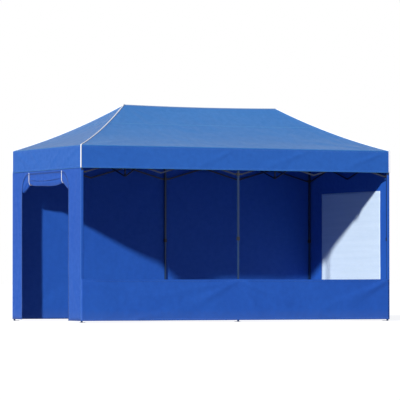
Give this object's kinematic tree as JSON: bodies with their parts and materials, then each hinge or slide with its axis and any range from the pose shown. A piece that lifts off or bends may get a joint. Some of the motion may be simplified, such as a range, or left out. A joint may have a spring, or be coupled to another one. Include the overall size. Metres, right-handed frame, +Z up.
{
  "type": "pop up gazebo",
  "caption": "Folding hip-roof pop up gazebo on telescopic legs, with scissor truss, valance, half-height front wall, full back wall, door wall with rolled door and window wall.",
  "frame": {"origin": "on the ground under the centre of the roof", "axes": "+X along the long side to the right as seen from the open front, +Y from the front to the back, +Z up"},
  "size_m": [5.976, 3.016, 3.8],
  "materials": {
    "frame_steel": "satin grey powder coat",
    "inner_steel": "satin light grey powder coat",
    "fitting_plastic": "matt moulded",
    "webbing": "woven webbing",
    "cover_cloth": "coated woven polyester with a faint sheen",
    "wall_cloth": "coated woven polyester"
  },
  "bodies": {
    "front_mid_post_and_cover": {"front_mid_outer_leg": "frame_steel", "canopy": "cover_cloth", "front_half_wall": "wall_cloth", "back_wall": "wall_cloth", "end_walls": "wall_cloth"},
    "front_left_outer_leg": {"front_left_outer_leg": "frame_steel"},
    "front_right_outer_leg": {"front_right_outer_leg": "frame_steel"},
    "back_left_outer_leg": {"back_left_outer_leg": "frame_steel"},
    "back_mid_outer_leg": {"back_mid_outer_leg": "frame_steel"},
    "back_right_outer_leg": {"back_right_outer_leg": "frame_steel"},
    "front_left_slider": {"front_left_slider": "fitting_plastic"},
    "front_mid_slider": {"front_mid_slider": "fitting_plastic"},
    "front_right_slider": {"front_right_slider": "fitting_plastic"},
    "back_left_slider": {"back_left_slider": "fitting_plastic"},
    "back_mid_slider": {"back_mid_slider": "fitting_plastic"},
    "back_right_slider": {"back_right_slider": "fitting_plastic"},
    "front_left_inner_leg": {"front_left_inner_leg": "inner_steel"},
    "front_mid_inner_leg": {"front_mid_inner_leg": "inner_steel"},
    "front_right_inner_leg": {"front_right_inner_leg": "inner_steel"},
    "back_left_inner_leg": {"back_left_inner_leg": "inner_steel"},
    "back_mid_inner_leg": {"back_mid_inner_leg": "inner_steel"},
    "back_right_inner_leg": {"back_right_inner_leg": "inner_steel"},
    "front_bar_1_high": {"front_bar_1_high": "frame_steel"},
    "front_bar_1_low": {"front_bar_1_low": "frame_steel"},
    "front_bar_2_high": {"front_bar_2_high": "frame_steel"},
    "front_bar_2_low": {"front_bar_2_low": "frame_steel"},
    "front_bar_3_high": {"front_bar_3_high": "frame_steel"},
    "front_bar_3_low": {"front_bar_3_low": "frame_steel"},
    "front_bar_4_high": {"front_bar_4_high": "frame_steel"},
    "front_bar_4_low": {"front_bar_4_low": "frame_steel"},
    "back_bar_1_high": {"back_bar_1_high": "frame_steel"},
    "back_bar_1_low": {"back_bar_1_low": "frame_steel"},
    "back_bar_2_high": {"back_bar_2_high": "frame_steel"},
    "back_bar_2_low": {"back_bar_2_low": "frame_steel"},
    "back_bar_3_high": {"back_bar_3_high": "frame_steel"},
    "back_bar_3_low": {"back_bar_3_low": "frame_steel"},
    "back_bar_4_high": {"back_bar_4_high": "frame_steel"},
    "back_bar_4_low": {"back_bar_4_low": "frame_steel"},
    "left_bar_1_high": {"left_bar_1_high": "frame_steel"},
    "left_bar_1_low": {"left_bar_1_low": "frame_steel"},
    "left_bar_2_high": {"left_bar_2_high": "frame_steel"},
    "left_bar_2_low": {"left_bar_2_low": "frame_steel"},
    "right_bar_1_high": {"right_bar_1_high": "frame_steel"},
    "right_bar_1_low": {"right_bar_1_low": "frame_steel"},
    "right_bar_2_high": {"right_bar_2_high": "frame_steel"},
    "right_bar_2_low": {"right_bar_2_low": "frame_steel"},
    "front_left_connector": {"front_left_connector": "fitting_plastic"},
    "front_right_connector": {"front_right_connector": "fitting_plastic"},
    "back_left_connector": {"back_left_connector": "fitting_plastic"},
    "back_right_connector": {"back_right_connector": "fitting_plastic"},
    "front_left_roof_arm": {"front_left_roof_arm": "frame_steel"},
    "front_right_roof_arm": {"front_right_roof_arm": "frame_steel"},
    "back_left_roof_arm": {"back_left_roof_arm": "frame_steel"},
    "back_right_roof_arm": {"back_right_roof_arm": "frame_steel"},
    "left_roof_mast": {"left_roof_mast": "frame_steel"},
    "right_roof_mast": {"right_roof_mast": "frame_steel"},
    "front_eave_tab": {"front_eave_tab": "webbing"},
    "back_eave_tab": {"back_eave_tab": "webbing"},
    "left_eave_tab": {"left_eave_tab": "webbing"},
    "right_eave_tab": {"right_eave_tab": "webbing"}
  },
  "joints": [
    {"name": "frame_fold", "type": "hinge", "parent": "front_mid_post_and_cover", "child": "front_bar_2_high", "pos_m": [-0.07, -1.48, 2.96], "axis": [0, -1, 0], "range_deg": [0, 69]},
    {"name": "front_bar_2_low_pivot", "type": "hinge", "parent": "front_bar_2_high", "child": "front_bar_2_low", "pos_m": [-0.775, -1.48, 2.758], "axis": [0, -1, 0], "range_deg": [-138.01, 0]},
    {"name": "front_left_connector_pivot", "type": "hinge", "parent": "front_bar_2_low", "child": "front_left_connector", "pos_m": [-1.48, -1.48, 2.96], "axis": [0, -1, 0], "range_deg": [0, 69.01]},
    {"name": "front_mid_slider_pivot", "type": "hinge", "parent": "front_bar_2_low", "child": "front_mid_slider", "pos_m": [-0.07, -1.48, 2.556], "axis": [0, -1, 0], "range_deg": [0, 69.01]},
    {"name": "front_bar_3_high_pivot", "type": "hinge", "parent": "front_mid_post_and_cover", "child": "front_bar_3_high", "pos_m": [0.07, -1.48, 2.96], "axis": [0, 1, 0], "range_deg": [0, 69.01]},
    {"name": "front_bar_3_low_pivot", "type": "hinge", "parent": "front_bar_3_high", "child": "front_bar_3_low", "pos_m": [0.775, -1.48, 2.758], "axis": [0, 1, 0], "range_deg": [-138.01, 0]},
    {"name": "front_right_connector_pivot", "type": "hinge", "parent": "front_bar_3_low", "child": "front_right_connector", "pos_m": [1.48, -1.48, 2.96], "axis": [0, 1, 0], "range_deg": [0, 69.01]},
    {"name": "front_bar_1_high_pivot", "type": "hinge", "parent": "front_left_connector", "child": "front_bar_1_high", "pos_m": [-1.48, -1.48, 2.96], "axis": [0, -1, 0], "range_deg": [0, 69.01]},
    {"name": "front_bar_1_low_pivot", "type": "hinge", "parent": "front_bar_1_high", "child": "front_bar_1_low", "pos_m": [-2.185, -1.48, 2.758], "axis": [0, -1, 0], "range_deg": [-138.01, 0]},
    {"name": "front_left_outer_leg_pivot", "type": "hinge", "parent": "front_bar_1_low", "child": "front_left_outer_leg", "pos_m": [-2.89, -1.48, 2.96], "axis": [0, -1, 0], "range_deg": [0, 69.01]},
    {"name": "front_left_slider_pivot", "type": "hinge", "parent": "front_bar_1_high", "child": "front_left_slider", "pos_m": [-2.89, -1.48, 2.556], "axis": [0, -1, 0], "range_deg": [-69.01, 0]},
    {"name": "front_bar_4_high_pivot", "type": "hinge", "parent": "front_right_connector", "child": "front_bar_4_high", "pos_m": [1.48, -1.48, 2.96], "axis": [0, 1, 0], "range_deg": [0, 69.01]},
    {"name": "front_bar_4_low_pivot", "type": "hinge", "parent": "front_bar_4_high", "child": "front_bar_4_low", "pos_m": [2.185, -1.48, 2.758], "axis": [0, 1, 0], "range_deg": [-138.01, 0]},
    {"name": "front_right_outer_leg_pivot", "type": "hinge", "parent": "front_bar_4_low", "child": "front_right_outer_leg", "pos_m": [2.89, -1.48, 2.96], "axis": [0, 1, 0], "range_deg": [0, 69.01]},
    {"name": "front_right_slider_pivot", "type": "hinge", "parent": "front_bar_4_high", "child": "front_right_slider", "pos_m": [2.89, -1.48, 2.556], "axis": [0, 1, 0], "range_deg": [-69.01, 0]},
    {"name": "left_bar_1_high_pivot", "type": "hinge", "parent": "front_left_outer_leg", "child": "left_bar_1_high", "pos_m": [-2.96, -1.41, 2.96], "axis": [-1, 0, 0], "range_deg": [0, 69.01]},
    {"name": "left_bar_1_low_pivot", "type": "hinge", "parent": "left_bar_1_high", "child": "left_bar_1_low", "pos_m": [-2.96, -0.705, 2.758], "axis": [-1, 0, 0], "range_deg": [-138.01, 0]},
    {"name": "left_bar_2_high_pivot", "type": "hinge", "parent": "left_bar_1_low", "child": "left_bar_2_high", "pos_m": [-2.96, 0, 2.96], "axis": [-1, 0, 0], "range_deg": [0, 138.01]},
    {"name": "left_bar_2_low_pivot", "type": "hinge", "parent": "left_bar_2_high", "child": "left_bar_2_low", "pos_m": [-2.96, 0.705, 2.758], "axis": [-1, 0, 0], "range_deg": [-138.01, 0]},
    {"name": "right_bar_1_high_pivot", "type": "hinge", "parent": "front_right_outer_leg", "child": "right_bar_1_high", "pos_m": [2.96, -1.41, 2.96], "axis": [-1, 0, 0], "range_deg": [0, 69.01]},
    {"name": "right_bar_1_low_pivot", "type": "hinge", "parent": "right_bar_1_high", "child": "right_bar_1_low", "pos_m": [2.96, -0.705, 2.758], "axis": [-1, 0, 0], "range_deg": [-138.01, 0]},
    {"name": "right_bar_2_high_pivot", "type": "hinge", "parent": "right_bar_1_low", "child": "right_bar_2_high", "pos_m": [2.96, 0, 2.96], "axis": [-1, 0, 0], "range_deg": [0, 138.01]},
    {"name": "right_bar_2_low_pivot", "type": "hinge", "parent": "right_bar_2_high", "child": "right_bar_2_low", "pos_m": [2.96, 0.705, 2.758], "axis": [-1, 0, 0], "range_deg": [-138.01, 0]},
    {"name": "front_left_roof_arm_pivot", "type": "hinge", "parent": "front_left_connector", "child": "front_left_roof_arm", "pos_m": [-1.48, -1.446, 2.96], "axis": [-1, 0, 0], "range_deg": [0, 69.01]},
    {"name": "left_roof_mast_pivot", "type": "hinge", "parent": "front_left_roof_arm", "child": "left_roof_mast", "pos_m": [-1.48, -0.036, 2.556], "axis": [-1, 0, 0], "range_deg": [-69.01, 0]},
    {"name": "back_left_roof_arm_pivot", "type": "hinge", "parent": "left_roof_mast", "child": "back_left_roof_arm", "pos_m": [-1.48, 0.036, 2.556], "axis": [-1, 0, 0], "range_deg": [-69.01, 0]},
    {"name": "back_left_connector_pivot", "type": "hinge", "parent": "back_left_roof_arm", "child": "back_left_connector", "pos_m": [-1.48, 1.446, 2.96], "axis": [-1, 0, 0], "range_deg": [0, 69.01]},
    {"name": "front_right_roof_arm_pivot", "type": "hinge", "parent": "front_right_connector", "child": "front_right_roof_arm", "pos_m": [1.48, -1.446, 2.96], "axis": [-1, 0, 0], "range_deg": [0, 69.01]},
    {"name": "right_roof_mast_pivot", "type": "hinge", "parent": "front_right_roof_arm", "child": "right_roof_mast", "pos_m": [1.48, -0.036, 2.556], "axis": [-1, 0, 0], "range_deg": [-69.01, 0]},
    {"name": "back_right_roof_arm_pivot", "type": "hinge", "parent": "right_roof_mast", "child": "back_right_roof_arm", "pos_m": [1.48, 0.036, 2.556], "axis": [-1, 0, 0], "range_deg": [-69.01, 0]},
    {"name": "back_right_connector_pivot", "type": "hinge", "parent": "back_right_roof_arm", "child": "back_right_connector", "pos_m": [1.48, 1.446, 2.96], "axis": [-1, 0, 0], "range_deg": [0, 69.01]},
    {"name": "back_bar_1_high_pivot", "type": "hinge", "parent": "back_left_connector", "child": "back_bar_1_high", "pos_m": [-1.48, 1.48, 2.96], "axis": [0, -1, 0], "range_deg": [0, 69.01]},
    {"name": "back_bar_1_low_pivot", "type": "hinge", "parent": "back_bar_1_high", "child": "back_bar_1_low", "pos_m": [-2.185, 1.48, 2.758], "axis": [0, -1, 0], "range_deg": [-138.01, 0]},
    {"name": "back_left_outer_leg_pivot", "type": "hinge", "parent": "back_bar_1_low", "child": "back_left_outer_leg", "pos_m": [-2.89, 1.48, 2.96], "axis": [0, -1, 0], "range_deg": [0, 69.01]},
    {"name": "back_left_slider_pivot", "type": "hinge", "parent": "back_bar_1_high", "child": "back_left_slider", "pos_m": [-2.89, 1.48, 2.556], "axis": [0, -1, 0], "range_deg": [-69.01, 0]},
    {"name": "back_bar_2_high_pivot", "type": "hinge", "parent": "back_left_connector", "child": "back_bar_2_high", "pos_m": [-1.48, 1.48, 2.96], "axis": [0, 1, 0], "range_deg": [0, 69.01]},
    {"name": "back_bar_2_low_pivot", "type": "hinge", "parent": "back_bar_2_high", "child": "back_bar_2_low", "pos_m": [-0.775, 1.48, 2.758], "axis": [0, 1, 0], "range_deg": [-138.01, 0]},
    {"name": "back_mid_outer_leg_pivot", "type": "hinge", "parent": "back_bar_2_low", "child": "back_mid_outer_leg", "pos_m": [-0.07, 1.48, 2.96], "axis": [0, 1, 0], "range_deg": [0, 69.01]},
    {"name": "back_mid_slider_pivot", "type": "hinge", "parent": "back_bar_2_high", "child": "back_mid_slider", "pos_m": [-0.07, 1.48, 2.556], "axis": [0, 1, 0], "range_deg": [-69.01, 0]},
    {"name": "back_bar_3_high_pivot", "type": "hinge", "parent": "back_right_connector", "child": "back_bar_3_high", "pos_m": [1.48, 1.48, 2.96], "axis": [0, -1, 0], "range_deg": [0, 69.01]},
    {"name": "back_bar_3_low_pivot", "type": "hinge", "parent": "back_bar_3_high", "child": "back_bar_3_low", "pos_m": [0.775, 1.48, 2.758], "axis": [0, -1, 0], "range_deg": [-138.01, 0]},
    {"name": "back_bar_4_high_pivot", "type": "hinge", "parent": "back_right_connector", "child": "back_bar_4_high", "pos_m": [1.48, 1.48, 2.96], "axis": [0, 1, 0], "range_deg": [0, 69.01]},
    {"name": "back_bar_4_low_pivot", "type": "hinge", "parent": "back_bar_4_high", "child": "back_bar_4_low", "pos_m": [2.185, 1.48, 2.758], "axis": [0, 1, 0], "range_deg": [-138.01, 0]},
    {"name": "back_right_outer_leg_pivot", "type": "hinge", "parent": "back_bar_4_low", "child": "back_right_outer_leg", "pos_m": [2.89, 1.48, 2.96], "axis": [0, 1, 0], "range_deg": [0, 69.01]},
    {"name": "back_right_slider_pivot", "type": "hinge", "parent": "back_bar_4_high", "child": "back_right_slider", "pos_m": [2.89, 1.48, 2.556], "axis": [0, 1, 0], "range_deg": [-69.01, 0]},
    {"name": "front_eave_tab_turn", "type": "hinge", "parent": "front_mid_post_and_cover", "child": "front_eave_tab", "pos_m": [0.043, -1.499, 2.996], "axis": [-1, 0, 0], "range_deg": [0, 113.31]},
    {"name": "back_eave_tab_turn", "type": "hinge", "parent": "back_mid_outer_leg", "child": "back_eave_tab", "pos_m": [0.043, 1.499, 2.996], "axis": [1, 0, 0], "range_deg": [0, 113.31]},
    {"name": "left_eave_tab_turn", "type": "hinge", "parent": "front_left_outer_leg", "child": "left_eave_tab", "pos_m": [-2.979, -1.437, 2.996], "axis": [0, 1, 0], "range_deg": [0, 113.31]},
    {"name": "right_eave_tab_turn", "type": "hinge", "parent": "front_right_outer_leg", "child": "right_eave_tab", "pos_m": [2.979, -1.437, 2.996], "axis": [0, -1, 0], "range_deg": [0, 113.31]},
    {"name": "front_left_leg_slide", "type": "slide", "parent": "front_left_outer_leg", "child": "front_left_inner_leg", "axis": [0, 0, 1], "range_m": [0, 1.25]},
    {"name": "front_mid_leg_slide", "type": "slide", "parent": "front_mid_post_and_cover", "child": "front_mid_inner_leg", "axis": [0, 0, 1], "range_m": [0, 1.25]},
    {"name": "front_right_leg_slide", "type": "slide", "parent": "front_right_outer_leg", "child": "front_right_inner_leg", "axis": [0, 0, 1], "range_m": [0, 1.25]},
    {"name": "back_left_leg_slide", "type": "slide", "parent": "back_left_outer_leg", "child": "back_left_inner_leg", "axis": [0, 0, 1], "range_m": [0, 1.25]},
    {"name": "back_mid_leg_slide", "type": "slide", "parent": "back_mid_outer_leg", "child": "back_mid_inner_leg", "axis": [0, 0, 1], "range_m": [0, 1.25]},
    {"name": "back_right_leg_slide", "type": "slide", "parent": "back_right_outer_leg", "child": "back_right_inner_leg", "axis": [0, 0, 1], "range_m": [0, 1.25]}
  ],
  "couplings": [
    {"joint": "front_bar_2_low_pivot", "follows": "frame_fold", "ratio": -2},
    {"joint": "front_left_connector_pivot", "follows": "frame_fold", "ratio": 1},
    {"joint": "front_mid_slider_pivot", "follows": "frame_fold", "ratio": 1},
    {"joint": "front_bar_3_high_pivot", "follows": "frame_fold", "ratio": 1},
    {"joint": "front_bar_3_low_pivot", "follows": "frame_fold", "ratio": -2},
    {"joint": "front_right_connector_pivot", "follows": "frame_fold", "ratio": 1},
    {"joint": "front_bar_1_high_pivot", "follows": "frame_fold", "ratio": 1},
    {"joint": "front_bar_1_low_pivot", "follows": "frame_fold", "ratio": -2},
    {"joint": "front_left_outer_leg_pivot", "follows": "frame_fold", "ratio": 1},
    {"joint": "front_left_slider_pivot", "follows": "frame_fold", "ratio": -1},
    {"joint": "front_bar_4_high_pivot", "follows": "frame_fold", "ratio": 1},
    {"joint": "front_bar_4_low_pivot", "follows": "frame_fold", "ratio": -2},
    {"joint": "front_right_outer_leg_pivot", "follows": "frame_fold", "ratio": 1},
    {"joint": "front_right_slider_pivot", "follows": "frame_fold", "ratio": -1},
    {"joint": "left_bar_1_high_pivot", "follows": "frame_fold", "ratio": 1},
    {"joint": "left_bar_1_low_pivot", "follows": "frame_fold", "ratio": -2},
    {"joint": "left_bar_2_high_pivot", "follows": "frame_fold", "ratio": 2},
    {"joint": "left_bar_2_low_pivot", "follows": "frame_fold", "ratio": -2},
    {"joint": "right_bar_1_high_pivot", "follows": "frame_fold", "ratio": 1},
    {"joint": "right_bar_1_low_pivot", "follows": "frame_fold", "ratio": -2},
    {"joint": "right_bar_2_high_pivot", "follows": "frame_fold", "ratio": 2},
    {"joint": "right_bar_2_low_pivot", "follows": "frame_fold", "ratio": -2},
    {"joint": "front_left_roof_arm_pivot", "follows": "frame_fold", "ratio": 1},
    {"joint": "left_roof_mast_pivot", "follows": "frame_fold", "ratio": -1},
    {"joint": "back_left_roof_arm_pivot", "follows": "frame_fold", "ratio": -1},
    {"joint": "back_left_connector_pivot", "follows": "frame_fold", "ratio": 1},
    {"joint": "front_right_roof_arm_pivot", "follows": "frame_fold", "ratio": 1},
    {"joint": "right_roof_mast_pivot", "follows": "frame_fold", "ratio": -1},
    {"joint": "back_right_roof_arm_pivot", "follows": "frame_fold", "ratio": -1},
    {"joint": "back_right_connector_pivot", "follows": "frame_fold", "ratio": 1},
    {"joint": "back_bar_1_high_pivot", "follows": "frame_fold", "ratio": 1},
    {"joint": "back_bar_1_low_pivot", "follows": "frame_fold", "ratio": -2},
    {"joint": "back_left_outer_leg_pivot", "follows": "frame_fold", "ratio": 1},
    {"joint": "back_left_slider_pivot", "follows": "frame_fold", "ratio": -1},
    {"joint": "back_bar_2_high_pivot", "follows": "frame_fold", "ratio": 1},
    {"joint": "back_bar_2_low_pivot", "follows": "frame_fold", "ratio": -2},
    {"joint": "back_mid_outer_leg_pivot", "follows": "frame_fold", "ratio": 1},
    {"joint": "back_mid_slider_pivot", "follows": "frame_fold", "ratio": -1},
    {"joint": "back_bar_3_high_pivot", "follows": "frame_fold", "ratio": 1},
    {"joint": "back_bar_3_low_pivot", "follows": "frame_fold", "ratio": -2},
    {"joint": "back_bar_4_high_pivot", "follows": "frame_fold", "ratio": 1},
    {"joint": "back_bar_4_low_pivot", "follows": "frame_fold", "ratio": -2},
    {"joint": "back_right_outer_leg_pivot", "follows": "frame_fold", "ratio": 1},
    {"joint": "back_right_slider_pivot", "follows": "frame_fold", "ratio": -1},
    {"joint": "front_eave_tab_turn", "follows": "frame_fold", "ratio": 1.6421},
    {"joint": "back_eave_tab_turn", "follows": "frame_fold", "ratio": 1.6421},
    {"joint": "left_eave_tab_turn", "follows": "frame_fold", "ratio": 1.6421},
    {"joint": "right_eave_tab_turn", "follows": "frame_fold", "ratio": 1.6421}
  ]
}
